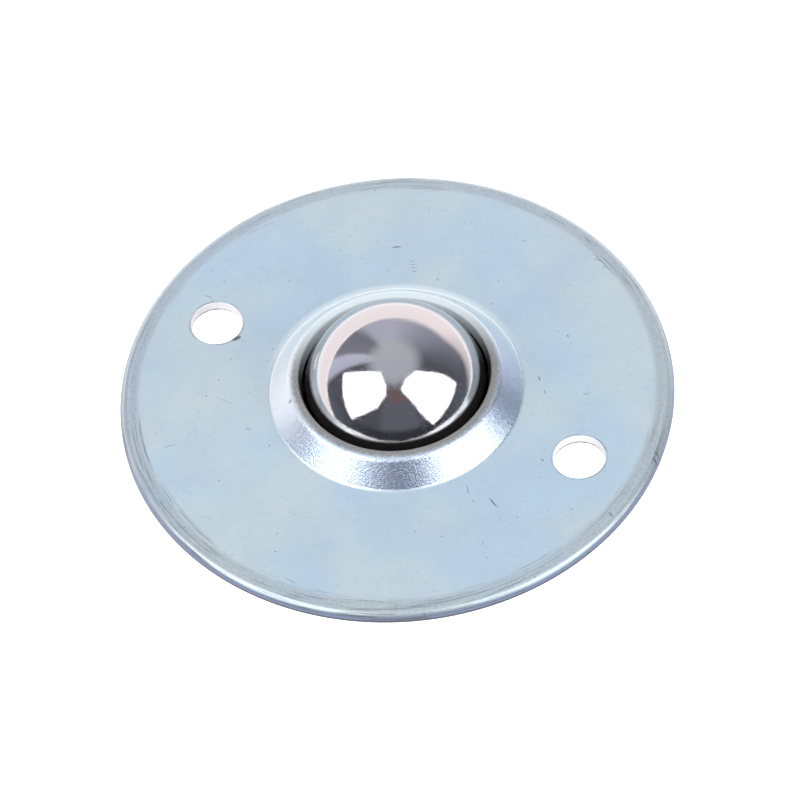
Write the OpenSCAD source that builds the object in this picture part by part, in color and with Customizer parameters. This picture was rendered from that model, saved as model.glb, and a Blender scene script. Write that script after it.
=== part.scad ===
// Ball transfer unit with a round flange: a pressed steel flange disc whose raised
// collar holds a large load ball, which rolls on a nest of small balls in a hardened
// bowl, all closed from below by a pressed housing cup.
//
// Millimetres, +Z up. The origin is the centre of the flange's underside, the plane
// that lies on the deck. The two fixing holes stand on the X axis.

/* [Load ball] */
// Diameter of the load ball (1 inch)
ball_d = 25.4; // [20:0.1:26.4]
// Height of the load ball's crown above the flange's top face
ball_rise = 11.9; // [9.5:0.1:12.3]

/* [Support balls] */
// Diameter of each support ball (5/32 inch)
support_d = 3.969; // [3.8:0.001:4.6]
// Radial play at each contact of a support ball, with the load ball and with the bowl
ball_play = 0.05; // [0.02:0.01:0.1]
// Smallest gap between neighbouring support balls
nest_gap = 0.1; // [0.05:0.05:0.3]
// Angle up from the bowl's lowest point near which the nest ends
nest_angle = 66; // [35:1:76]

/* [Flange disc] */
// Outer diameter of the flange disc
flange_d = 75; // [69:1:110]
// Thickness of the flange disc's sheet
flange_t = 1.5; // [1.2:0.1:2.2]
// Radius of the rounded outer edge
rim_r = 1.2; // [0.2:0.1:1.3]
// Width of the slightly lowered band inside the rounded edge
rim_band_w = 1.2; // [0.3:0.1:2]
// Drop of that band at the rounded edge
rim_band_drop = 0.12; // [0.02:0.02:0.3]

/* [Fixing holes] */
// Diameter of each fixing hole
hole_d = 7; // [3:0.5:9]
// Distance between the two fixing holes
hole_spacing = 55; // [52:0.5:63]

/* [Collar] */
// Height of the collar above the flange's top face
collar_h = 3.6; // [3:0.1:5]
// Slope of the collar's side, from the horizontal
collar_slope = 50; // [42:1:72]
// Inner radius of the bend over the crest
crest_in_r = 0.3; // [0.2:0.1:1.2]
// Radius of the hollow where the collar rises from the flange's top face
foot_r = 0.8; // [0.2:0.1:1.5]
// Width of the flat top between that bend and the rounded edge over the ball
lip_land = 0.05; // [0.05:0.05:0.5]
// Rounding of the lip's top edge
lip_edge_r = 0.3; // [0.1:0.05:0.5]
// Slope of the lip's cut edge, from the vertical
lip_taper = 14; // [4:1:20]
// Running gap between the foot of the lip's cut edge and the load ball
lip_gap = 0.26; // [0.05:0.01:0.3]

/* [Race bowl] */
// Wall of the hardened bowl
bowl_wall = 1.3; // [0.9:0.1:2]
// Radius of the flat foot ground on the bowl's bottom
bowl_foot_r = 3; // [1:0.5:4.5]

/* [Housing cup] */
// Thickness of the cup's sheet
cup_t = 1.2; // [0.8:0.1:1.8]
// Radial clearance of the bowl in the cup
bowl_fit = 0.08; // [0.02:0.02:0.3]
// Inner radius of the corner between the cup's wall and its base
cup_corner_r = 8; // [3:0.5:12]
// Reach of the cup's flange beyond its wall
cup_flange_w = 2.65; // [2:0.05:3.6]
// Radius of the bend under the cup's flange
cup_bend_r = 0.8; // [0.3:0.1:1.2]
// Depth of the register in the flange disc that centres the cup's flange
register_depth = 0.1; // [0.05:0.05:0.3]
// Radial clearance of the cup's flange in that register
register_gap = 0.1; // [0.05:0.05:0.3]

/* [Hidden] */
$fn = 96;
arc_steps = 12;
cut = 1;

// Load ball and the nest under it
ball_r = ball_d / 2;
support_r = support_d / 2;
ball_z = flange_t + ball_rise - ball_r;
nest_r = ball_r + ball_play + support_r;
ring_step = 2 * asin((support_r + nest_gap / 2) / nest_r) * 1.02;
ring_count = round(nest_angle / ring_step);
ring_sizes = [for (i = [1 : ring_count])
    floor(180 / asin((support_r + nest_gap / 2) / (nest_r * sin(i * ring_step))))];
// Polar angle from the lowest point and turn about Z of each support ball
nest = concat([[0, 0]],
    [for (i = [1 : ring_count], k = [0 : ring_sizes[i - 1] - 1])
        [i * ring_step, 360 * (k + i / 2) / ring_sizes[i - 1]]]);

// Race bowl
bowl_in_r = nest_r + support_r + ball_play;
bowl_out_r = bowl_in_r + bowl_wall;
foot_z = ball_z - sqrt(bowl_out_r * bowl_out_r - bowl_foot_r * bowl_foot_r);

// Housing cup
cup_in_r = bowl_out_r + bowl_fit;
cup_out_r = cup_in_r + cup_t;
cup_flange_r = cup_out_r + cup_flange_w;

// Flange disc and its collar
flange_r = flange_d / 2;
rim_edge_r = min(rim_r, flange_t - rim_band_drop - 0.08);
normal_angle = 90 - collar_slope;
collar_top = flange_t + collar_h;
lip_z = collar_top - flange_t;
lip_r = sqrt(ball_r * ball_r - pow(lip_z - ball_z, 2)) + lip_gap;
lip_edge_centre_r = lip_r + lip_edge_r * cos(lip_taper)
    + (flange_t - lip_edge_r * (1 - sin(lip_taper))) * tan(lip_taper);
crest_out_r = crest_in_r + flange_t;
crest_r = lip_edge_centre_r + lip_land;
crest_z = collar_top - crest_out_r;
crease_r = crest_r + crest_out_r * cos(normal_angle)
    + (crest_z + crest_out_r * sin(normal_angle) - flange_t) / tan(collar_slope);
foot_centre_r = crease_r + foot_r * tan(collar_slope / 2);

// Points of an arc in the plane of a turned profile
function arc(centre_r, centre_z, r, from, to) =
    [for (i = [0 : arc_steps])
        let (a = from + (to - from) * i / arc_steps)
        [centre_r + r * cos(a), centre_z + r * sin(a)]];

// Pressed flange disc: one sheet from the rounded rim up the collar and over its crest to
// the lip, whose tapered cut edge keeps the load ball in, with the fixing holes and the
// cup's register
module flange_disc() {
    foot_z0 = flange_t + foot_r;
    profile = concat(
        [[flange_r, 0]],
        arc(flange_r - rim_edge_r, flange_t - rim_band_drop - rim_edge_r, rim_edge_r, 0, 90),
        [[flange_r - rim_edge_r - rim_band_w, flange_t]],
        arc(foot_centre_r, foot_z0, foot_r, 270, 180 + normal_angle),
        arc(crest_r, crest_z, crest_out_r, normal_angle, 90),
        arc(lip_edge_centre_r, collar_top - lip_edge_r, lip_edge_r, 90, 180 - lip_taper),
        [[lip_r, lip_z]],
        arc(crest_r, crest_z, crest_in_r, 90, normal_angle),
        arc(foot_centre_r, foot_z0, foot_r + flange_t, 180 + normal_angle, 270));
    color([0.76, 0.81, 0.85])
    difference() {
        rotate_extrude() polygon(profile);
        for (side = [-1, 1])
            translate([side * hole_spacing / 2, 0, -cut])
                cylinder(d = hole_d, h = flange_t + 2 * cut);
        translate([0, 0, -cut])
            cylinder(r = cup_flange_r + register_gap, h = cut + register_depth);
    }
}

// Load ball, a plain polished sphere
module main_ball() {
    color([0.72, 0.73, 0.75])
    translate([0, 0, ball_z]) sphere(r = ball_r);
}

// Hardened bowl: a spherical shell that the support balls run on, held between the
// cup's base and the flange disc
module race_bowl() {
    color([0.55, 0.56, 0.58])
    difference() {
        translate([0, 0, ball_z]) sphere(r = bowl_out_r);
        translate([0, 0, ball_z]) sphere(r = bowl_in_r);
        translate([0, 0, register_depth]) cylinder(r = bowl_out_r + cut, h = bowl_out_r * 2);
        translate([0, 0, foot_z - bowl_out_r]) cylinder(r = bowl_out_r, h = bowl_out_r);
    }
}

// Pressed housing cup: straight wall, large corner, flat base and a narrow flange
// that seats in the register of the flange disc
module housing_cup() {
    corner_r = cup_in_r - cup_corner_r;
    corner_z = foot_z + cup_corner_r;
    bend_r = cup_out_r + cup_bend_r;
    bend_z = register_depth - cup_t - cup_bend_r;
    profile = concat(
        [[0, foot_z], [0, foot_z - cup_t]],
        arc(corner_r, corner_z, cup_corner_r + cup_t, 270, 360),
        arc(bend_r, bend_z, cup_bend_r, 180, 90),
        [[cup_flange_r, register_depth - cup_t], [cup_flange_r, register_depth]],
        arc(bend_r, bend_z, cup_bend_r + cup_t, 90, 180),
        arc(corner_r, corner_z, cup_corner_r, 360, 270));
    color([0.74, 0.78, 0.81])
    rotate_extrude() polygon(profile);
}

// One support ball at its place in the nest
module support_ball(place) {
    color([0.68, 0.69, 0.71])
    translate([0, 0, ball_z])
        rotate([0, 0, place[1]])
            translate([nest_r * sin(place[0]), 0, -nest_r * cos(place[0])])
                sphere(r = support_r, $fn = 48);
}

flange_disc();
main_ball();
race_bowl();
housing_cup();
for (i = [1 : len(nest)])
    support_ball(nest[i - 1]);
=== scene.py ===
"""Looks of a ball transfer unit with a round flange: studio, fine meshes and finishes.

Metres, in the frame of the CAD model: the origin is the centre of the flange's underside,
+Z is up, and the two fixing holes stand on the X axis.
"""
import math

import bpy
from mathutils import Matrix, Vector


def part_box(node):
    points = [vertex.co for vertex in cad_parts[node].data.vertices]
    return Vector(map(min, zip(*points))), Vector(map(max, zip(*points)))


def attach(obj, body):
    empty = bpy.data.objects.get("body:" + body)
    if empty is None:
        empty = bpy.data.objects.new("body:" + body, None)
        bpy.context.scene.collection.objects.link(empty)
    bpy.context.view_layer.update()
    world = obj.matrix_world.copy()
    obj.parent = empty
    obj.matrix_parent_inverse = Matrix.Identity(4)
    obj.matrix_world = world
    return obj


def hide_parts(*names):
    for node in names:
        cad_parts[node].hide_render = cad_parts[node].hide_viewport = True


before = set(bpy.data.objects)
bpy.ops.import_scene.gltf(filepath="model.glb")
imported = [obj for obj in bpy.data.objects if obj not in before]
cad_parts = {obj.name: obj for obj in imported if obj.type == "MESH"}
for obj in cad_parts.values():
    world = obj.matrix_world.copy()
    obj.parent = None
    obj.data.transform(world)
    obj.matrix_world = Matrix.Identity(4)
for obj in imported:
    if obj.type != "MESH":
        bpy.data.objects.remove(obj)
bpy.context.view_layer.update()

MM = 0.001

# Flange disc
FLANGE_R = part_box("flange_disc")[1].x
FLANGE_T = 1.5 * MM
RIM_R = 1.2 * MM
RIM_BAND_W = 1.2 * MM
RIM_BAND_DROP = 0.12 * MM
HOLE_R = 3.5 * MM
HOLE_SPACING = 55 * MM
HOLE_EDGE_R = 0.16 * MM

# Load ball and support balls
BALL_R = 12.7 * MM
BALL_RISE = 11.9 * MM
BALL_Z = FLANGE_T + BALL_RISE - BALL_R
SUPPORT_D = 3.969 * MM
BALL_PLAY = 0.05 * MM

# Collar
COLLAR_H = 3.6 * MM
COLLAR_SLOPE = math.radians(50)
CREST_IN_R = 0.3 * MM
CREST_OUT_R = CREST_IN_R + FLANGE_T
FOOT_R = 0.8 * MM
LIP_LAND = 0.05 * MM
LIP_EDGE_R = 0.3 * MM
LIP_TAPER = math.radians(14)
LIP_GAP = 0.26 * MM
COLLAR_TOP = FLANGE_T + COLLAR_H
LIP_Z = COLLAR_TOP - FLANGE_T
LIP_R = math.sqrt(BALL_R ** 2 - (LIP_Z - BALL_Z) ** 2) + LIP_GAP
LIP_EDGE_CENTRE_R = (LIP_R + LIP_EDGE_R * math.cos(LIP_TAPER)
                     + (FLANGE_T - LIP_EDGE_R * (1 - math.sin(LIP_TAPER))) * math.tan(LIP_TAPER))
CREST_R = LIP_EDGE_CENTRE_R + LIP_LAND
CREST_Z = COLLAR_TOP - CREST_OUT_R
SLOPE_NORMAL = math.pi / 2 - COLLAR_SLOPE
CREASE_R = (CREST_R + CREST_OUT_R * math.cos(SLOPE_NORMAL)
            + (CREST_Z + CREST_OUT_R * math.sin(SLOPE_NORMAL) - FLANGE_T) / math.tan(COLLAR_SLOPE))
FOOT_CENTRE_R = CREASE_R + FOOT_R * math.tan(COLLAR_SLOPE / 2)

# Race bowl and housing cup
BASE_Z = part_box("housing_cup")[0].z
CUP_FLANGE_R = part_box("housing_cup")[1].x
CUP_T = 1.2 * MM
FOOT_Z = BASE_Z + CUP_T
BOWL_WALL = 1.3 * MM
BOWL_FIT = 0.08 * MM
BOWL_IN_R = BALL_R + SUPPORT_D + 2 * BALL_PLAY
BOWL_OUT_R = BOWL_IN_R + BOWL_WALL
BOWL_FOOT_R = 3 * MM
CUP_IN_R = BOWL_OUT_R + BOWL_FIT
CUP_CORNER_R = 8 * MM
CUP_BEND_R = 0.8 * MM
REGISTER_DEPTH = 0.1 * MM
REGISTER_GAP = 0.1 * MM
REGISTER_R = CUP_FLANGE_R + REGISTER_GAP

# Camera, by compass turn from -Y and height above the horizon in degrees, and its lens in mm
VIEW_TURN = 31.5
VIEW_HEIGHT = 52.6
VIEW_ROLL = 5.7
VIEW_DISTANCE = 0.9
VIEW_LENS = 300.15
VIEW_SENSOR = 36
VIEW_RIGHT = 0.5 * MM
VIEW_DOWN = 1.44 * MM


def direction(turn, height=0.0):
    """Unit vector by its turn from the camera's side, to the right, and its height, in degrees."""
    turn, height = math.radians(turn + VIEW_TURN), math.radians(height)
    return Vector((math.sin(turn) * math.cos(height),
                   -math.cos(turn) * math.cos(height),
                   math.sin(height)))


def place_camera():
    """Camera looking down on the disc, with its frame moved a little off the disc's centre."""
    back = direction(0, VIEW_HEIGHT)
    level_right = direction(90)
    level_up = back.cross(level_right)
    roll = math.radians(VIEW_ROLL)
    right = level_right * math.cos(roll) - level_up * math.sin(roll)
    up = back.cross(right)
    lens = bpy.data.cameras.new("camera")
    lens.lens = VIEW_LENS
    lens.sensor_width = VIEW_SENSOR
    lens.clip_start = 0.01
    lens.clip_end = 20
    camera = bpy.data.objects.new("camera", lens)
    bpy.context.scene.collection.objects.link(camera)
    eye = Vector((0, 0, FLANGE_T)) + VIEW_DISTANCE * back + VIEW_RIGHT * right - VIEW_DOWN * up
    camera.matrix_world = Matrix.Translation(eye) @ Matrix((right, up, back)).transposed().to_4x4()
    bpy.context.scene.camera = camera


place_camera()


# ---------------------------------------------------------------- nodes


def node(tree, kind, inputs=(), **settings):
    """Adds a node with its settings, and its inputs by name or number, as values or links."""
    made = tree.nodes.new(kind)
    for name, value in settings.items():
        setattr(made, name, value)
    for key, value in dict(inputs).items():
        if isinstance(value, bpy.types.NodeSocket):
            tree.links.new(value, made.inputs[key])
        else:
            made.inputs[key].default_value = value
    return made


def maths(tree, operation, a, b=0.0):
    """Result of a Math node."""
    return node(tree, "ShaderNodeMath", {0: a, 1: b}, operation=operation).outputs[0]


def times(tree, first, *others):
    """Product of two or more values."""
    for other in others:
        first = maths(tree, "MULTIPLY", first, other)
    return first


def facing(tree, way, turn, height=0.0):
    """How far a unit vector points towards a turn and height from the camera's side, from -1 to 1."""
    return node(tree, "ShaderNodeVectorMath", {0: way, 1: direction(turn, height)},
                operation="DOT_PRODUCT").outputs[1]


def rise(tree, value, start, end, low=0.0, high=1.0, kind="SMOOTHSTEP"):
    """Step of a value from low to high between start and end, smooth unless another kind is named."""
    made = node(tree, "ShaderNodeMapRange", {"Value": value, 1: start, 2: end, 3: low, 4: high},
                interpolation_type=kind)
    return made.outputs[0]


def mix(tree, share, low, high):
    """Colour mixed from low to high by a share. The Mix node's colour sockets are 6, 7 and 2."""
    made = node(tree, "ShaderNodeMix", {0: share, 6: low, 7: high}, data_type="RGBA")
    return made.outputs[2]


def noise(tree, vector, scale, detail=2.0, roughness=0.5):
    """Noise between 0 and 1, with scale in features a metre."""
    made = node(tree, "ShaderNodeTexNoise",
                {"Vector": vector, "Scale": scale, "Detail": detail, "Roughness": roughness})
    return made.outputs[0]


# ---------------------------------------------------------------- studio

# White table: how far it reaches from the object, and how far it lies below the cup
TABLE_REACH = 0.16
TABLE_GAP = 0.01 * MM
TABLE_COLOUR = (0.93, 0.93, 0.93, 1)

# Lit panels, and their corners by turn from the camera's side and height, in degrees
PANEL_DISTANCE = 1.3
PANEL_STRENGTH = 2.8
PANEL_COLOUR = (0.97, 0.98, 1, 1)
LEFT_PANEL = [(-100, 29), (-82, 59), (-60, 71), (-25, 60), (-21, 49), (-30, 32), (-57, 5)]
RIGHT_PANEL = [(10, 56), (32, 65), (66, 63), (85, 30), (86, 11), (37, 0), (30, 15)]

# Walls of the room by compass turn from the camera's side, in degrees, and their tone
WALLS = [(-180, 0.62), (-158, 0.58), (-149, 0.25), (-125, 0.29), (-121, 0.72), (-107, 0.66), (-102, 0.13),
         (-60, 0.1), (-28, 0.11), (-18, 0.16), (18, 0.16), (28, 0.11), (92, 0.12), (108, 0.19), (128, 0.33),
         (152, 0.46), (180, 0.62)]
WALL_TINT = (1.0, 1.04, 1.26)

# Colours of the room: its foot in front and behind, its ceiling, and the dim figure at the camera
FOOT_FRONT = (0.05, 0.05, 0.065, 1)
FOOT_BEHIND = (0.13, 0.15, 0.18, 1)
CEILING_FRONT = (0.55, 0.61, 0.68, 1)
CEILING_BEHIND = (0.65, 0.67, 0.71, 1)
FIGURE = (0.24, 0.15, 0.14, 1)

# White paper behind the table: its lit side, shaded side and folded edge, and where its top runs
PAPER_LIT = (1.3, 1.2, 1.2, 1)
PAPER_SHADED = (0.85, 0.8, 0.82, 1)
PAPER_FOLD = (1.7, 1.65, 1.65, 1)
PAPER_RISE = 0.47
PAPER_DROP = 0.05


def stage_mesh(name, corners, faces, material):
    """Floor or lamp panel, which isn't part of the object."""
    mesh = bpy.data.meshes.new(name)
    mesh.from_pydata(corners, [], faces)
    mesh.materials.append(material)
    made = bpy.data.objects.new(name, mesh)
    bpy.context.scene.collection.objects.link(made)
    return made


def seen_glow(tree, open_view, in_metal):
    """Strength of a glow to the camera and glass, and to reflections in metal. Matt faces get none."""
    path = node(tree, "ShaderNodeLightPath")
    direct = maths(tree, "MAXIMUM", path.outputs["Is Camera Ray"], path.outputs["Is Transmission Ray"])
    mirrored = times(tree, path.outputs["Is Glossy Ray"], in_metal)
    return maths(tree, "MAXIMUM", times(tree, direct, open_view), mirrored)


def lit_panel(name, corners):
    """Flat lit panel whose corners stand at the given turns and heights, in degrees."""
    material = bpy.data.materials.new(name)
    material.use_nodes = True
    tree = material.node_tree
    tree.nodes.clear()
    glow = node(tree, "ShaderNodeEmission", {"Color": PANEL_COLOUR, "Strength": PANEL_STRENGTH})
    node(tree, "ShaderNodeOutputMaterial", {"Surface": glow.outputs[0]})
    rays = [direction(turn, height) for turn, height in corners]
    middle = sum(rays, Vector()).normalized()
    panel = [ray * PANEL_DISTANCE / ray.dot(middle) for ray in rays]
    made = stage_mesh(name, panel, [range(len(panel))], material)
    made.visible_camera = False


def wall_tones(tree, turn):
    """Colour of the walls by their turn from the camera's side."""
    ramp = node(tree, "ShaderNodeValToRGB", {0: rise(tree, turn, -math.pi, math.pi, kind="LINEAR")})
    stops = ramp.color_ramp.elements
    while len(stops) < len(WALLS):
        stops.new(0.5)
    for stop, (degrees, tone) in zip(stops, WALLS):
        stop.position = (degrees + 180) / 360
        stop.color = [tint * tone for tint in WALL_TINT] + [1]
    return ramp.outputs[0]


def hang_paper(tree, room, behind, right, height):
    """Room with the white paper, whose edge is crisp and folded at the left, soft at the right."""
    top = maths(tree, "SUBTRACT", times(tree, behind, PAPER_RISE), maths(tree, "ADD", height, PAPER_DROP))
    top = maths(tree, "SUBTRACT", top, rise(tree, right, 0.7, 0.95, 0.0, 0.18))
    crisp = rise(tree, top, -0.015, 0.02)
    soft = rise(tree, top, -0.16, 0.08)
    softness = rise(tree, right, -0.1, 0.4)
    share = mix(tree, softness, crisp, soft)
    paper = mix(tree, rise(tree, right, 0.55, 0.95), PAPER_LIT, PAPER_SHADED)
    folded = times(tree, rise(tree, top, 0.05, 0.02), rise(tree, right, -0.2, -0.6))
    return mix(tree, share, room, mix(tree, folded, paper, PAPER_FOLD))


def light_room():
    """Room by direction: dark in front, grey walls, a bluish ceiling and a white paper behind."""
    world = bpy.data.worlds.new("studio_room")
    bpy.context.scene.world = world
    world.use_nodes = True
    tree = world.node_tree
    tree.nodes.clear()
    ray = node(tree, "ShaderNodeTexCoord").outputs["Generated"]
    behind = facing(tree, ray, 180)
    right = facing(tree, ray, 90)
    height = node(tree, "ShaderNodeSeparateXYZ", {0: ray}).outputs[2]
    turn = maths(tree, "ARCTAN2", right, times(tree, behind, -1))
    foot = mix(tree, rise(tree, behind, -0.9, -0.2), FOOT_FRONT, FOOT_BEHIND)
    walls = mix(tree, rise(tree, height, 0.0, 0.16), foot, wall_tones(tree, turn))
    ceiling = mix(tree, rise(tree, behind, -0.3, 0.5), CEILING_FRONT, CEILING_BEHIND)
    room = mix(tree, rise(tree, height, 0.79, 0.96), walls, ceiling)
    at_camera = rise(tree, facing(tree, ray, 0, VIEW_HEIGHT), 0.965, 0.985)
    figure = times(tree, rise(tree, noise(tree, ray, 9.0, 3.0), 0.4, 0.55), at_camera)
    room = mix(tree, figure, room, FIGURE)
    studio = hang_paper(tree, room, behind, right, height)
    camera = node(tree, "ShaderNodeLightPath").outputs["Is Camera Ray"]
    plain = node(tree, "ShaderNodeBackground", {"Color": studio, "Strength": 1.0})
    white = node(tree, "ShaderNodeBackground", {"Color": (1, 1, 1, 1), "Strength": 1.0})
    both = node(tree, "ShaderNodeMixShader", {0: camera, 1: plain.outputs[0], 2: white.outputs[0]})
    node(tree, "ShaderNodeOutputWorld", {"Surface": both.outputs[0]})


def lay_floor():
    """White table under the cup's base, which reaches past the camera's view."""
    material = bpy.data.materials.new("white_table")
    material.use_nodes = True
    tree = material.node_tree
    tree.nodes.clear()
    matt = node(tree, "ShaderNodeBsdfDiffuse", {"Color": TABLE_COLOUR})
    glow = node(tree, "ShaderNodeEmission",
                {"Color": (1, 1, 1, 1), "Strength": seen_glow(tree, open_view=0.8, in_metal=0.4)})
    both = node(tree, "ShaderNodeAddShader", {0: matt.outputs[0], 1: glow.outputs[0]})
    node(tree, "ShaderNodeOutputMaterial", {"Surface": both.outputs[0]})
    near = TABLE_REACH * direction(0)
    side = TABLE_REACH * direction(90)
    down = Vector((0, 0, BASE_Z - TABLE_GAP))
    corners = [down + near - side, down + near + side, down - near + side, down - near - side]
    stage_mesh("white_table", corners, [range(4)], material)


light_room()
lay_floor()
lit_panel("softbox_left", LEFT_PANEL)
lit_panel("softbox_right", RIGHT_PANEL)
bpy.context.scene.view_settings.view_transform = "Standard"


# ---------------------------------------------------------------- finishes

# Zinc plating on the disc's deck: two tones of its clouding, its patches and its fine dark grain
ZINC_PALE = (0.71, 0.82, 0.80, 1)
ZINC_BLUE = (0.62, 0.785, 0.86, 1)
ZINC_PATCH = (0.58, 0.70, 0.79, 1)
ZINC_GRAIN = (0.42, 0.47, 0.5, 1)
DENT = (0.09, 0.09, 0.1, 1)

# Collar: the drawn steel's two grains and a painted sheen on its left side, the worn crest's two grains,
# the painted shade on the lip's inner face, and the painted glow on the deck behind its foot
DRAWN_DARK = (0.50, 0.61, 0.80, 1)
DRAWN_LIGHT = (0.74, 0.83, 0.95, 1)
DRAWN_PAINTED_SHEEN = (0.93, 0.96, 0.98, 1)
CREST_DARK = (0.24, 0.24, 0.24, 1)
CREST_LIGHT = (0.37, 0.37, 0.355, 1)
LIP_PAINTED_SHADE = (0.04, 0.036, 0.034, 1)
FOOT_PAINTED_GLOW = (0.9, 1.0, 1.0, 1)

# Rim and holes: dull band, its speckle, the painted dark reflection on the rounded edge and the painted
# shade at its foot, and a hole's wall in painted pale reflection, its tear and darkened edge
BAND_DULL = (0.5, 0.55, 0.57, 1)
BAND_SPECKLE = (0.25, 0.28, 0.3, 1)
EDGE_PAINTED_REFLECTION = (0.21, 0.26, 0.37, 1)
EDGE_PAINTED_SHADE = (0.08, 0.08, 0.1, 1)
# Hole wall in painted pale reflection of the white backdrop
HOLE_WALL_PAINTED_REFLECTION = (0.97, 0.92, 0.91, 1)
HOLE_TEAR = (0.24, 0.19, 0.17, 1)
HOLE_DIRT = (0.2, 0.22, 0.25, 1)

# Zones of the disc by radius, each from where it starts to where it is full. The crest's outer edge
# is ragged by so much each way
LIP_DARK_R = LIP_EDGE_CENTRE_R - 0.75 * LIP_EDGE_R
DRAWN_ZONE = (CREASE_R + 0.4 * MM, CREASE_R - 0.4 * MM)
BAND_ZONE = (FLANGE_R - 2.9 * MM, FLANGE_R - 2.1 * MM)
TURNED_ZONE = (FLANGE_R - 3.6 * MM, FLANGE_R - 2.4 * MM)
EDGE_ZONE = (FLANGE_R - 0.9 * MM, FLANGE_R - 0.3 * MM)
CREST_ZONE = (LIP_DARK_R + 1.5 * MM, LIP_DARK_R + 0.6 * MM)
CREST_RAGGED = 0.09 * MM
# Painted shade on the lip's inner face, in the gap round the ball
LIP_SHADE_ZONE = (LIP_DARK_R + 0.06 * MM, LIP_DARK_R - 0.06 * MM)
# Painted glow on the deck just outside the collar's foot
PAINTED_GLOW_ZONE = (FOOT_CENTRE_R + 0.9 * MM, FOOT_CENTRE_R)

# Zones round a hole, by distance from its axis
WALL_ZONE = (HOLE_R + 0.14 * MM, HOLE_R + 0.04 * MM)
DIRT_ZONE = (HOLE_R + 0.45 * MM, HOLE_R + 0.15 * MM)

# Zones by height above the disc's underside
# The rim edge's painted reflection and the painted shade at its foot, then a hole's tear
EDGE_HEIGHT = (1.2 * MM, 0.7 * MM)
EDGE_SHADE_HEIGHT = (0.5 * MM, 0.2 * MM)
TEAR_HEIGHT = (0.3 * MM, 0.16 * MM)

# Sides of the collar and rim, by turn from the camera's side
PAINTED_SHEEN_SIDE = -110
SCUFFED_SIDE = -45
PAINTED_GLOW_SIDE = 180

# Drawn cup: two tones of its clouding, its fine grain and its draw lines, where the lines start by
# radius, and where its corner is burnished by height
CUP_DARK = (0.44, 0.53, 0.585, 1)
CUP_LIGHT = (0.52, 0.60, 0.62, 1)
CUP_GRAIN = (0.36, 0.40, 0.43, 1)
CUP_LINE = (0.34, 0.38, 0.42, 1)
DRAW_LINE_ZONE = (CUP_IN_R - 3 * MM, CUP_IN_R)
BURNISHED_HEIGHT = (FOOT_Z + CUP_CORNER_R, FOOT_Z + 2 * MM)

# Steel of the bowl, dark to light, and of the balls
BOWL_DARK = (0.36, 0.36, 0.38, 1)
BOWL_LIGHT = (0.55, 0.56, 0.58, 1)
LOAD_BALL_GREY = (0.63, 0.61, 0.62, 1)
SUPPORT_BALL_GREY = (0.68, 0.69, 0.71, 1)

# Relief: the drawn grain and the dents on the disc, the cup's skin, and the polish on the balls
GRAIN_DEPTH = 0.05 * MM
DENT_DEPTH = 0.02 * MM
CUP_DEPTH = 0.012 * MM
POLISH_DEPTH = 0.006 * MM


def new_finish(name):
    """Empty node material with its Principled shader, and its Object coordinates."""
    material = bpy.data.materials.new(name)
    material.use_nodes = True
    tree = material.node_tree
    tree.nodes.clear()
    shader = node(tree, "ShaderNodeBsdfPrincipled")
    node(tree, "ShaderNodeOutputMaterial", {"Surface": shader.outputs[0]})
    place = node(tree, "ShaderNodeTexCoord").outputs["Object"]
    return material, tree, shader, place


def flat_place(tree, place):
    """Coordinates seen from above, their radius from the axis, and the direction from the axis."""
    parts = node(tree, "ShaderNodeSeparateXYZ", {0: place})
    flat = node(tree, "ShaderNodeCombineXYZ", {0: parts.outputs[0], 1: parts.outputs[1]}).outputs[0]
    radius = node(tree, "ShaderNodeVectorMath", {0: flat}, operation="LENGTH").outputs[1]
    way = node(tree, "ShaderNodeVectorMath", {0: flat}, operation="NORMALIZE").outputs[0]
    return flat, radius, way


def ring_streaks(tree, radius, way, across, along):
    """Noise drawn out round the axis: across features a metre of radius, along features a turn."""
    turned = node(tree, "ShaderNodeVectorMath", {0: way, "Scale": along}, operation="SCALE").outputs[0]
    parts = node(tree, "ShaderNodeSeparateXYZ", {0: turned})
    outwards = times(tree, radius, across)
    place = node(tree, "ShaderNodeCombineXYZ", {0: parts.outputs[0], 1: parts.outputs[1], 2: outwards})
    return noise(tree, place.outputs[0], 1.0, 3.0, 0.6)


def scratches(tree, flat, marks):
    """Depth from 0 to 1 of thin marks: centre x and y, turn, length, width in mm, and darkness."""
    wobble = node(tree, "ShaderNodeTexNoise", {"Vector": flat, "Scale": 1400.0, "Detail": 2.0})
    shift = node(tree, "ShaderNodeVectorMath", {0: wobble.outputs[1], 1: (0.5, 0.5, 0.5)},
                 operation="SUBTRACT").outputs[0]
    shift = node(tree, "ShaderNodeVectorMath", {0: shift, "Scale": 0.25 * MM}, operation="SCALE").outputs[0]
    bent = node(tree, "ShaderNodeVectorMath", {0: flat, 1: shift}, operation="ADD").outputs[0]
    depth = None
    for x, y, turn, length, width, darkness in marks:
        local = node(tree, "ShaderNodeMapping", {
            "Vector": bent, "Location": (x * MM, y * MM, 0), "Rotation": (0, 0, math.radians(turn)),
            "Scale": (length / 2 * MM, width / 2 * MM, 1)}, vector_type="TEXTURE").outputs[0]
        reach = node(tree, "ShaderNodeVectorMath", {0: local}, operation="LENGTH").outputs[1]
        mark = rise(tree, reach, 0.55, 1.05, min(1.0, 1.35 * darkness), 0.0)
        depth = mark if depth is None else maths(tree, "MAXIMUM", depth, mark)
    return depth


def dots(tree, flat, scale, size, share):
    """Small round specks, from 0 to 1: scale in cells a metre, size in metres, and the share of cells."""
    cells = node(tree, "ShaderNodeTexVoronoi", {"Vector": flat, "Scale": scale}, voronoi_dimensions="2D")
    chosen = node(tree, "ShaderNodeSeparateXYZ", {0: cells.outputs["Color"]})
    present = maths(tree, "LESS_THAN", chosen.outputs[0], share)
    reach = times(tree, chosen.outputs[1], size * scale)
    reach = maths(tree, "ADD", reach, size * scale * 0.3)
    spot = maths(tree, "DIVIDE", cells.outputs["Distance"], reach)
    return times(tree, rise(tree, spot, 0.6, 1.0, 1.0, 0.0), present)


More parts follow.
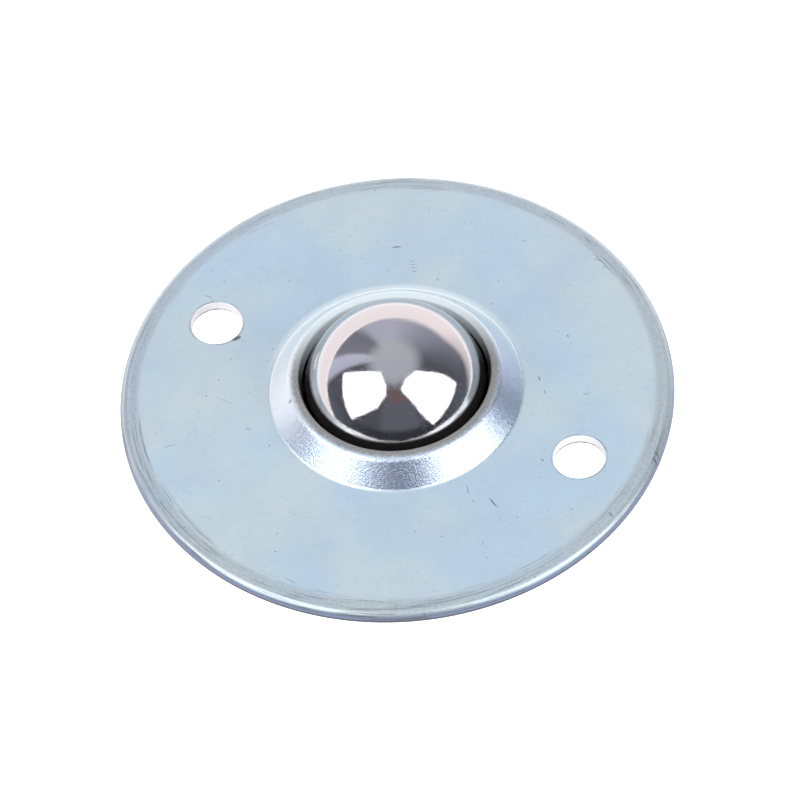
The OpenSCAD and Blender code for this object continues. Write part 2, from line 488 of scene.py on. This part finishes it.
# Handling marks on the disc: x, y in mm, turn in degrees, length and width in mm, darkness
DISC_MARKS = [
    (20.4, -11.6, -30, 2.3, 0.16, 0.8), (16.3, -11.0, -52, 2.1, 0.12, 0.5),
    (17.9, -12.4, -28, 1.0, 0.12, 0.45), (-30.7, 3.6, -2, 1.6, 0.14, 0.45),
    (-11.1, 21.9, 24, 1.5, 0.3, 0.5), (-8.0, 20.6, 32, 1.1, 0.14, 0.42),
    (-7.7, 20.1, 31, 1.2, 0.14, 0.4), (-7.4, 19.6, 32, 1.1, 0.14, 0.38),
    (-7.0, 19.1, 30, 1.1, 0.14, 0.3), (36.7, 4.9, -25, 1.5, 0.25, 0.7),
    (16.8, 9.6, -38, 0.9, 0.22, 0.5), (17.1, 17.7, -43, 0.5, 0.22, 0.6),
    (18.5, 7.9, -58, 0.9, 0.2, 0.45), (23.6, 9.8, 18, 1.0, 0.14, 0.5),
    (23.2, -2.5, -26, 0.9, 0.22, 0.4), (30.3, -8.2, 14, 0.7, 0.16, 0.45),
    (36.9, 3.8, -25, 1.5, 0.25, 0.7), (35.5, -6.8, -36, 1.0, 0.24, 0.5),
    (22.1, -18.1, -63, 1.1, 0.14, 0.3), (-23.5, -21.1, 40, 2.1, 0.12, 0.45),
    (-20.3, -11.3, -3, 3.0, 0.14, 0.22), (-15.2, -14.2, -17, 0.9, 0.2, 0.35),
    (1.6, -34.1, -10, 2.2, 0.16, 0.35), (6.5, 35.2, -11, 5.0, 0.2, 0.35),
    (12.3, 33.8, -27, 2.0, 0.25, 0.4), (15.1, 31.2, -1, 1.8, 0.2, 0.35),
    (-23.8, -1.2, 58, 1.7, 0.7, 0.6), (-10.9, -9.7, 70, 0.7, 0.4, 0.6),
]


def deck_colour(tree, place):
    """Blue-white zinc: large clouds, smaller patches and a fine dark grain."""
    cloud = noise(tree, place, 55.0, 2.0)
    patch = noise(tree, place, 130.0, 4.0, 0.6)
    fine = noise(tree, place, 1500.0, 4.0, 0.65)
    colour = mix(tree, rise(tree, cloud, 0.35, 0.65), ZINC_PALE, ZINC_BLUE)
    colour = mix(tree, rise(tree, patch, 0.35, 0.7, 0.0, 0.45), colour, ZINC_PATCH)
    return mix(tree, rise(tree, fine, 0.52, 0.8, 0.0, 0.32), colour, ZINC_GRAIN)


def rim_wear(tree, place, radius, way, colour, depth):
    """Dull, speckled band inside the rim, and broken lines turned into it: the new colour and depth."""
    streaks = ring_streaks(tree, radius, way, across=4200.0, along=4.0)
    scuffed = rise(tree, facing(tree, way, SCUFFED_SIDE), 0.5, 1.0, 0.0, 0.2)
    worn = maths(tree, "ADD", noise(tree, place, 90.0, 3.0), scuffed)
    band = rise(tree, radius, *BAND_ZONE)
    colour = mix(tree, times(tree, band, 0.5), colour, BAND_DULL)
    lines = times(tree, rise(tree, streaks, 0.52, 0.66), rise(tree, worn, 0.45, 0.62))
    depth = maths(tree, "MAXIMUM", depth, times(tree, lines, rise(tree, radius, *TURNED_ZONE), 0.55))
    speckle = times(tree, rise(tree, noise(tree, place, 4000.0, 3.0), 0.5, 0.66, 0.0, 0.3), band)
    return mix(tree, speckle, colour, BAND_SPECKLE), depth


def worn_crest(tree, place, radius):
    """Share of the crest's worn steel, with a ragged outer edge."""
    ragged = rise(tree, noise(tree, place, 1800.0, 4.0), 0.3, 0.7, -CREST_RAGGED, CREST_RAGGED)
    return rise(tree, maths(tree, "ADD", radius, ragged), *CREST_ZONE)


def edge_colours(tree, place, radius, colour):
    """Rounded outer edge with painted dark reflection and painted shade at its foot, and punched hole walls
    in painted pale reflection: the new colour and the cut faces' share.
    """
    sides = node(tree, "ShaderNodeSeparateXYZ", {0: place}).outputs
    height = sides[2]
    # Painted reflection: the rounded rim edge is dark blue where it would mirror the dark room; painted
    # shade darkens its foot
    rounded = times(tree, rise(tree, radius, *EDGE_ZONE), rise(tree, height, *EDGE_HEIGHT))
    colour = mix(tree, rounded, colour, EDGE_PAINTED_REFLECTION)
    edge_foot_shade = times(tree, rounded, rise(tree, height, *EDGE_SHADE_HEIGHT))
    colour = mix(tree, edge_foot_shade, colour, EDGE_PAINTED_SHADE)
    hole_x = times(tree, maths(tree, "SIGN", sides[0]), HOLE_SPACING / 2)
    across = maths(tree, "SUBTRACT", sides[0], hole_x)
    from_hole = node(tree, "ShaderNodeCombineXYZ", {0: across, 1: sides[1]}).outputs[0]
    reach = node(tree, "ShaderNodeVectorMath", {0: from_hole}, operation="LENGTH").outputs[1]
    # Painted reflection: the punched hole walls are pale pinkish white, as the white backdrop they would
    # mirror, with a darker tear at their foot
    punched = rise(tree, reach, *WALL_ZONE)
    torn = times(tree, rise(tree, height, *TEAR_HEIGHT),
                 rise(tree, noise(tree, place, 500.0, 3.0), 0.4, 0.55, 0.2, 1.0))
    wall = mix(tree, torn, HOLE_WALL_PAINTED_REFLECTION, HOLE_TEAR)
    dirt = times(tree, rise(tree, reach, *DIRT_ZONE),
                 rise(tree, noise(tree, place, 400.0, 3.0), 0.4, 0.6, 0.1, 0.6))
    colour = mix(tree, punched, mix(tree, dirt, colour, HOLE_DIRT), wall)
    return colour, maths(tree, "MAXIMUM", rounded, punched)


def disc_finish(name, marks):
    """Blue-white zinc on the pressed disc: satin deck, grainy collar with a worn crest, and worn rim,
    with painted light: sheen on the collar's left, shade at the lip, glow past the far foot, reflection and
    shade on edges.
    """
    material, tree, shader, place = new_finish(name)
    flat, radius, way = flat_place(tree, place)
    drawn = rise(tree, radius, *DRAWN_ZONE)
    grain = noise(tree, place, 4500.0, 3.0, 0.65)
    # Painted sheen: the collar is paler and less metallic on its left side, where it would mirror the white
    # backdrop
    haze = rise(tree, facing(tree, way, PAINTED_SHEEN_SIDE), 0.45, 0.98, 0.0, 0.9)
    collar = mix(tree, rise(tree, grain, 0.38, 0.62), DRAWN_DARK, DRAWN_LIGHT)
    collar = mix(tree, haze, collar, DRAWN_PAINTED_SHEEN)
    colour = mix(tree, drawn, deck_colour(tree, place), collar)
    rough = rise(tree, drawn, 0.0, 1.0, 0.3, 0.2)
    metal = rise(tree, drawn, 0.0, 1.0, 0.55, 0.9)
    metal = maths(tree, "SUBTRACT", metal, times(tree, haze, drawn, 0.45))
    specks = dots(tree, flat, scale=260.0, size=0.09 * MM, share=0.4)
    depth = maths(tree, "MAXIMUM", specks, scratches(tree, flat, marks))
    colour, depth = rim_wear(tree, place, radius, way, colour, depth)
    crest = worn_crest(tree, place, radius)
    colour = mix(tree, crest, colour, mix(tree, rise(tree, grain, 0.35, 0.65), CREST_DARK, CREST_LIGHT))
    rough = maths(tree, "ADD", rough, times(tree, crest, 0.3))
    metal = maths(tree, "SUBTRACT", metal, times(tree, crest, 0.7))
    # Painted shade: the lip's inner face is near black where the narrow gap round the ball lies in shade
    colour = mix(tree, rise(tree, radius, *LIP_SHADE_ZONE), colour, LIP_PAINTED_SHADE)
    # Painted glow: a pale band on the deck outside the collar's foot, on the far side only, for light the
    # collar throws there
    painted_foot_glow = times(tree, rise(tree, radius, *PAINTED_GLOW_ZONE),
                      rise(tree, facing(tree, way, PAINTED_GLOW_SIDE), 0.0, 0.9), 0.9)
    colour = mix(tree, painted_foot_glow, colour, FOOT_PAINTED_GLOW)
    colour, cut = edge_colours(tree, place, radius, colour)
    # Less metal where the rim edge and the hole walls carry painted reflection and shade
    metal = maths(tree, "SUBTRACT", metal, times(tree, cut, 0.35))
    tree.links.new(mix(tree, depth, colour, DENT), shader.inputs["Base Color"])
    tree.links.new(metal, shader.inputs["Metallic"])
    tree.links.new(rough, shader.inputs["Roughness"])
    tree.links.new(rise(tree, crest, 0.0, 1.0, 0.5, 0.0), shader.inputs["Specular IOR Level"])
    swell = times(tree, grain, rise(tree, drawn, 0.0, 1.0, 0.08, 1.0))
    grained = node(tree, "ShaderNodeBump", {"Height": swell, "Distance": GRAIN_DEPTH})
    dented = node(tree, "ShaderNodeBump",
                  {"Height": depth, "Distance": DENT_DEPTH, "Normal": grained.outputs[0]}, invert=True)
    tree.links.new(dented.outputs[0], shader.inputs["Normal"])
    return material


def cup_finish(name):
    """Zinc on the deep-drawn cup: satin, with draw lines up its wall and a burnished corner."""
    material, tree, shader, place = new_finish(name)
    _, radius, way = flat_place(tree, place)
    height = node(tree, "ShaderNodeSeparateXYZ", {0: place}).outputs[2]
    cloud = noise(tree, place, 110.0, 3.0)
    fine = noise(tree, place, 1500.0, 4.0, 0.65)
    around = node(tree, "ShaderNodeVectorMath", {0: way, "Scale": 45.0}, operation="SCALE").outputs[0]
    upwards = node(tree, "ShaderNodeCombineXYZ", {2: times(tree, height, 60.0)}).outputs[0]
    along_draw = node(tree, "ShaderNodeVectorMath", {0: around, 1: upwards}, operation="ADD").outputs[0]
    on_wall = rise(tree, radius, *DRAW_LINE_ZONE)
    lines = times(tree, rise(tree, noise(tree, along_draw, 1.0, 3.0, 0.6), 0.5, 0.72), on_wall)
    colour = mix(tree, rise(tree, cloud, 0.35, 0.65), CUP_DARK, CUP_LIGHT)
    colour = mix(tree, rise(tree, fine, 0.52, 0.8, 0.0, 0.3), colour, CUP_GRAIN)
    colour = mix(tree, times(tree, lines, 0.35), colour, CUP_LINE)
    burnished = rise(tree, height, *BURNISHED_HEIGHT)
    rough = maths(tree, "ADD", rise(tree, burnished, 0.0, 1.0, 0.32, 0.22), times(tree, lines, 0.12))
    tree.links.new(colour, shader.inputs["Base Color"])
    tree.links.new(rough, shader.inputs["Roughness"])
    shader.inputs["Metallic"].default_value = 0.85
    swell = maths(tree, "ADD", fine, lines)
    pressed = node(tree, "ShaderNodeBump", {"Height": swell, "Distance": CUP_DEPTH})
    tree.links.new(pressed.outputs[0], shader.inputs["Normal"])
    return material


def polished_finish(name, colour, roughness):
    """Polished bearing steel with a few faint specks and small pits."""
    material, tree, shader, place = new_finish(name)
    specks = node(tree, "ShaderNodeTexVoronoi", {"Vector": place, "Scale": 700.0})
    chosen = node(tree, "ShaderNodeSeparateXYZ", {0: specks.outputs["Color"]})
    present = maths(tree, "LESS_THAN", chosen.outputs[0], 0.35)
    spot = times(tree, rise(tree, specks.outputs["Distance"], 0.03, 0.07, 0.6, 0.0), present)
    haze = noise(tree, place, 300.0, 3.0)
    peel = noise(tree, place, 4500.0, 2.0)
    dark = tuple(0.3 * c for c in colour[:3]) + (1,)
    tree.links.new(mix(tree, spot, colour, dark), shader.inputs["Base Color"])
    shader.inputs["Metallic"].default_value = 1.0
    pits = rise(tree, noise(tree, place, 5000.0, 3.0), 0.56, 0.7, 0.0, 0.2)
    rough = maths(tree, "ADD", rise(tree, haze, 0.3, 0.8, roughness, roughness * 1.8), pits)
    tree.links.new(rough, shader.inputs["Roughness"])
    rippled = node(tree, "ShaderNodeBump", {"Height": peel, "Distance": POLISH_DEPTH})
    tree.links.new(rippled.outputs[0], shader.inputs["Normal"])
    return material


def hardened_finish(name):
    """Ground and hardened steel under a film of oil, a little uneven."""
    material, tree, shader, place = new_finish(name)
    bloom = noise(tree, place, 220.0, 4.0)
    tree.links.new(mix(tree, bloom, BOWL_DARK, BOWL_LIGHT), shader.inputs["Base Color"])
    shader.inputs["Metallic"].default_value = 1.0
    tree.links.new(rise(tree, bloom, 0.2, 0.8, 0.18, 0.34), shader.inputs["Roughness"])
    return material


zinc_plated_disc = disc_finish("zinc_plated_disc", DISC_MARKS)
zinc_plated_cup = cup_finish("zinc_plated_cup")
hardened_bowl = hardened_finish("hardened_bowl")
polished_load_ball = polished_finish("polished_load_ball", LOAD_BALL_GREY, roughness=0.02)
support_ball_steel = polished_finish("support_ball_steel", SUPPORT_BALL_GREY, roughness=0.05)


# ---------------------------------------------------------------- turned pieces

# Flat faces get a ring this close to the curves beside them, which keeps their shading flat
GUARD = 0.04 * MM

# Steps across the rim's lowered band, the punch's reach past the sheet, and how close points merge
BAND_STEPS = 8
PUNCH_PAST = 1 * MM
MERGE_DISTANCE = 0.0001 * MM


def arc(centre_r, centre_z, r, start, end, steps=24):
    """Points of an arc in a turned profile, from start to end in degrees."""
    turns = [math.radians(start + (end - start) * i / steps) for i in range(steps + 1)]
    return [(centre_r + r * math.cos(t), centre_z + r * math.sin(t)) for t in turns]


def disc_profile():
    """Section of the flange disc, counter-clockwise from the lower outer edge."""
    slope = math.degrees(SLOPE_NORMAL)
    rim_r = FLANGE_R - RIM_R
    rim_z = FLANGE_T - RIM_BAND_DROP - RIM_R
    band = [(rim_r - RIM_BAND_W * i / BAND_STEPS,
             FLANGE_T - RIM_BAND_DROP * (1 + math.cos(math.pi * i / BAND_STEPS)) / 2)
            for i in range(1, BAND_STEPS + 1)]
    deck = [(rim_r - RIM_BAND_W - GUARD, FLANGE_T), (FOOT_CENTRE_R + GUARD, FLANGE_T)]
    foot = arc(FOOT_CENTRE_R, FLANGE_T + FOOT_R, FOOT_R, 270, 180 + slope)
    crest = arc(CREST_R, CREST_Z, CREST_OUT_R, slope, 90)
    edge = arc(LIP_EDGE_CENTRE_R, COLLAR_TOP - LIP_EDGE_R, LIP_EDGE_R, 90, 180 - math.degrees(LIP_TAPER))
    inner_crest = arc(CREST_R, CREST_Z, CREST_IN_R, 90, slope, steps=12)
    inner_foot = arc(FOOT_CENTRE_R, FLANGE_T + FOOT_R, FOOT_R + FLANGE_T, 180 + slope, 270)
    inner_foot = [(r, max(z, REGISTER_DEPTH)) for r, z in inner_foot]
    under = [(REGISTER_R, REGISTER_DEPTH), (REGISTER_R, 0), (FLANGE_R, 0)]
    rim = arc(rim_r, rim_z, RIM_R, 0, 90)
    outside = [(FLANGE_R, 0)] + rim + band + deck + foot + crest + edge
    return outside + [(LIP_R, LIP_Z)] + inner_crest + inner_foot + under


def punch_profile():
    """Half section of the punch that cuts a hole with a softly rounded top edge."""
    bottom = -PUNCH_PAST
    top = FLANGE_T + PUNCH_PAST
    edge_r = HOLE_R + HOLE_EDGE_R
    rounding = arc(edge_r, FLANGE_T - HOLE_EDGE_R, HOLE_EDGE_R, 180, 90, steps=6)
    return [(0, bottom), (HOLE_R, bottom)] + rounding + [(edge_r, top), (0, top)]


def ball_profile():
    """Half circle of the load ball."""
    return [(max(r, 0.0), z) for r, z in arc(0, BALL_Z, BALL_R, -90, 90, steps=128)]


def bowl_profile():
    """Section of the race bowl: a shell with a flat foot, open at the top."""
    foot = math.degrees(math.asin(BOWL_FOOT_R / BOWL_OUT_R))
    inner_top = math.degrees(math.asin((REGISTER_DEPTH - BALL_Z) / BOWL_IN_R))
    outer_top = math.degrees(math.asin((REGISTER_DEPTH - BALL_Z) / BOWL_OUT_R))
    outside = arc(0, BALL_Z, BOWL_OUT_R, foot - 90, outer_top, steps=40)
    inside = arc(0, BALL_Z, BOWL_IN_R, inner_top, -90, steps=44)
    return [(0, outside[0][1]), (BOWL_FOOT_R - GUARD, outside[0][1])] + outside + [
        (max(r, 0.0), z) for r, z in inside]


def cup_profile():
    """Section of the housing cup, counter-clockwise from the centre of its base."""
    corner_r = CUP_IN_R - CUP_CORNER_R
    corner_z = FOOT_Z + CUP_CORNER_R
    bend_r = CUP_IN_R + CUP_T + CUP_BEND_R
    bend_z = REGISTER_DEPTH - CUP_T - CUP_BEND_R
    outside = arc(corner_r, corner_z, CUP_CORNER_R + CUP_T, 270, 360)
    outside += arc(bend_r, bend_z, CUP_BEND_R, 180, 90)
    flange = [(CUP_FLANGE_R, REGISTER_DEPTH - CUP_T), (CUP_FLANGE_R, REGISTER_DEPTH)]
    inside = arc(bend_r, bend_z, CUP_BEND_R + CUP_T, 90, 180)
    inside += arc(corner_r, corner_z, CUP_CORNER_R, 360, 270)
    return [(0, BASE_Z), (corner_r - GUARD, BASE_Z)] + outside + flange + inside + [
        (corner_r - GUARD, FOOT_Z), (0, FOOT_Z)]


def new_tree(name, sockets):
    """Geometry Nodes tree with a geometry output and the named inputs, as (name, type) pairs."""
    tree = bpy.data.node_groups.new(name, "GeometryNodeTree")
    tree.interface.new_socket("Geometry", in_out="OUTPUT", socket_type="NodeSocketGeometry")
    for label, kind in sockets:
        tree.interface.new_socket(label, in_out="INPUT", socket_type=kind)
    return tree, tree.nodes.new("NodeGroupInput").outputs


def turning_tree():
    """Turns the points of a section round the Z axis into a closed skin."""
    tree, given = new_tree("turned_section", [
        ("Section", "NodeSocketGeometry"), ("Segments", "NodeSocketInt")])
    size = node(tree, "GeometryNodeAttributeDomainSize", {"Geometry": given["Section"]})
    count = size.outputs["Point Count"]
    columns = maths(tree, "ADD", given["Segments"], 1)
    grid = node(tree, "GeometryNodeMeshGrid",
                {"Size X": 1.0, "Size Y": 1.0, "Vertices X": count, "Vertices Y": columns}).outputs["Mesh"]
    place = node(tree, "GeometryNodeInputPosition").outputs[0]
    spot = node(tree, "ShaderNodeSeparateXYZ", {0: place})
    along = times(tree, maths(tree, "ADD", spot.outputs[0], 0.5), maths(tree, "SUBTRACT", count, 1))
    point = node(tree, "GeometryNodeSampleIndex",
                 {"Geometry": given["Section"], "Value": place, "Index": maths(tree, "ROUND", along)},
                 data_type="FLOAT_VECTOR").outputs[0]
    angle = times(tree, maths(tree, "ADD", spot.outputs[1], 0.5), -2 * math.pi)
    turned = node(tree, "ShaderNodeVectorRotate", {"Vector": point, "Angle": angle}, rotation_type="Z_AXIS")
    skin = node(tree, "GeometryNodeSetPosition", {"Geometry": grid, "Position": turned.outputs[0]})
    closed = node(tree, "GeometryNodeMergeByDistance",
                  {"Geometry": skin.outputs[0], "Distance": MERGE_DISTANCE})
    node(tree, "NodeGroupOutput", {0: closed.outputs[0]})
    return tree


def finish_tree(tree, skin, material):
    """Ends a tree with real geometry, smooth shading and the material."""
    real = node(tree, "GeometryNodeRealizeInstances", {"Geometry": skin})
    smooth = node(tree, "GeometryNodeSetShadeSmooth", {"Geometry": real.outputs[0]})
    painted = node(tree, "GeometryNodeSetMaterial", {"Geometry": smooth.outputs[0], "Material": material})
    node(tree, "NodeGroupOutput", {0: painted.outputs[0]})


def turned_skin(tree, turning, section, segments):
    """Skin that the turning group makes of a section."""
    made = node(tree, "GeometryNodeGroup", {"Section": section, "Segments": segments}, node_tree=turning)
    return made.outputs[0]


def plain_piece_tree(turning):
    """A turned piece with no holes."""
    tree, given = new_tree("turned_piece", [
        ("Section", "NodeSocketGeometry"), ("Segments", "NodeSocketInt"),
        ("Material", "NodeSocketMaterial")])
    skin = turned_skin(tree, turning, given["Section"], given["Segments"])
    finish_tree(tree, skin, given["Material"])
    return tree


def punched_piece_tree(turning):
    """A turned piece with two holes punched on the X axis."""
    tree, given = new_tree("punched_piece", [
        ("Section", "NodeSocketGeometry"), ("Segments", "NodeSocketInt"),
        ("Punch", "NodeSocketObject"), ("Punch Segments", "NodeSocketInt"),
        ("Hole Spacing", "NodeSocketFloat"), ("Material", "NodeSocketMaterial")])
    skin = turned_skin(tree, turning, given["Section"], given["Segments"])
    punch_section = node(tree, "GeometryNodeObjectInfo", {"Object": given["Punch"]}).outputs["Geometry"]
    punch = turned_skin(tree, turning, punch_section, given["Punch Segments"])
    start = node(tree, "ShaderNodeCombineXYZ", {0: times(tree, given["Hole Spacing"], -0.5)})
    step = node(tree, "ShaderNodeCombineXYZ", {0: given["Hole Spacing"]})
    places = node(tree, "GeometryNodeMeshLine",
                  {"Count": 2, "Start Location": start.outputs[0], "Offset": step.outputs[0]})
    punches = node(tree, "GeometryNodeInstanceOnPoints", {"Points": places.outputs[0], "Instance": punch})
    cutters = node(tree, "GeometryNodeRealizeInstances", {"Geometry": punches.outputs[0]})
    cut = node(tree, "GeometryNodeMeshBoolean", {"Mesh 1": skin, "Mesh 2": cutters.outputs[0]},
               operation="DIFFERENCE", solver="EXACT")
    finish_tree(tree, cut.outputs[0], given["Material"])
    return tree


def section_object(name, points):
    """Object that holds the points of a section, in the XZ plane."""
    mesh = bpy.data.meshes.new(name)
    edges = [(i, i + 1) for i in range(len(points) - 1)]
    mesh.from_pydata([(r, 0, z) for r, z in points], edges, [])
    made = bpy.data.objects.new(name, mesh)
    bpy.context.scene.collection.objects.link(made)
    return made


def dress(name, node_name, body, points, tree, values, sharp=6.5):
    """Fine mesh from a section, in place of a CAD node, with crisp bends over sharp degrees."""
    made = section_object(name, points)
    modifier = made.modifiers.new("form", "NODES")
    modifier.node_group = tree
    sockets = {item.name: item.identifier
               for item in tree.interface.items_tree if item.in_out == "INPUT"}
    for label, value in values.items():
        modifier[sockets[label]] = value
    shape = bpy.data.meshes.new_from_object(made.evaluated_get(bpy.context.evaluated_depsgraph_get()))
    made.modifiers.clear()
    made.data = shape
    shape.set_sharp_from_angle(angle=math.radians(sharp))
    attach(made, body)
    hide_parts(node_name)
    return made


turning = turning_tree()
plain_piece = plain_piece_tree(turning)
punched_piece = punched_piece_tree(turning)

punch = section_object("hole_punch", punch_profile())
dress("pressed_disc", "flange_disc", "root", disc_profile(), punched_piece,
      {"Segments": 360, "Punch": punch, "Punch Segments": 96, "Hole Spacing": HOLE_SPACING,
       "Material": zinc_plated_disc})
bpy.data.objects.remove(punch)
dress("polished_ball", "main_ball", "main_ball", ball_profile(), plain_piece,
      {"Segments": 256, "Material": polished_load_ball})
dress("ground_bowl", "race_bowl", "root", bowl_profile(), plain_piece,
      {"Segments": 192, "Material": hardened_bowl}, sharp=25)
dress("drawn_cup", "housing_cup", "root", cup_profile(), plain_piece,
      {"Segments": 256, "Material": zinc_plated_cup}, sharp=25)

for name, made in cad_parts.items():
    if name.startswith("support_ball"):
        made.data.materials.clear()
        made.data.materials.append(support_ball_steel)
